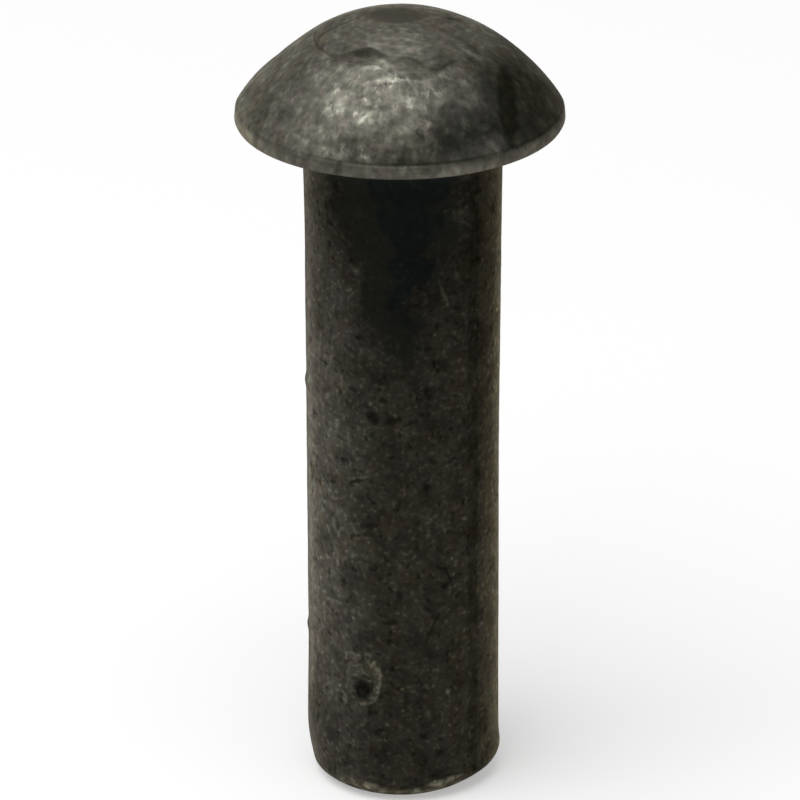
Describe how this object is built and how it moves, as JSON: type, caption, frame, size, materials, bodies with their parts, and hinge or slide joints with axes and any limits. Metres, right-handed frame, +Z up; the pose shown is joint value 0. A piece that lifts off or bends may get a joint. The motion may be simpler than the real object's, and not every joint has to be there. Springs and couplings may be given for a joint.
{
  "type": "round head rivet",
  "caption": "Solid round head rivet in black scaled steel, 6 mm shank 22 mm long under a domed head, with its sheared end down.",
  "frame": {"origin": "where the shank's axis crosses the bearing face under the head", "axes": "+Z up the shank's axis towards the head, so the shank lies below the origin and the rivet stands on its sheared end at Z = -22 mm; -Y is the side with the dent"},
  "size_m": [0.0101, 0.0102, 0.0253],
  "materials": {
    "black_steel": "satin"
  },
  "bodies": {
    "root": {"rivet": "black_steel"}
  },
  "joints": []
}
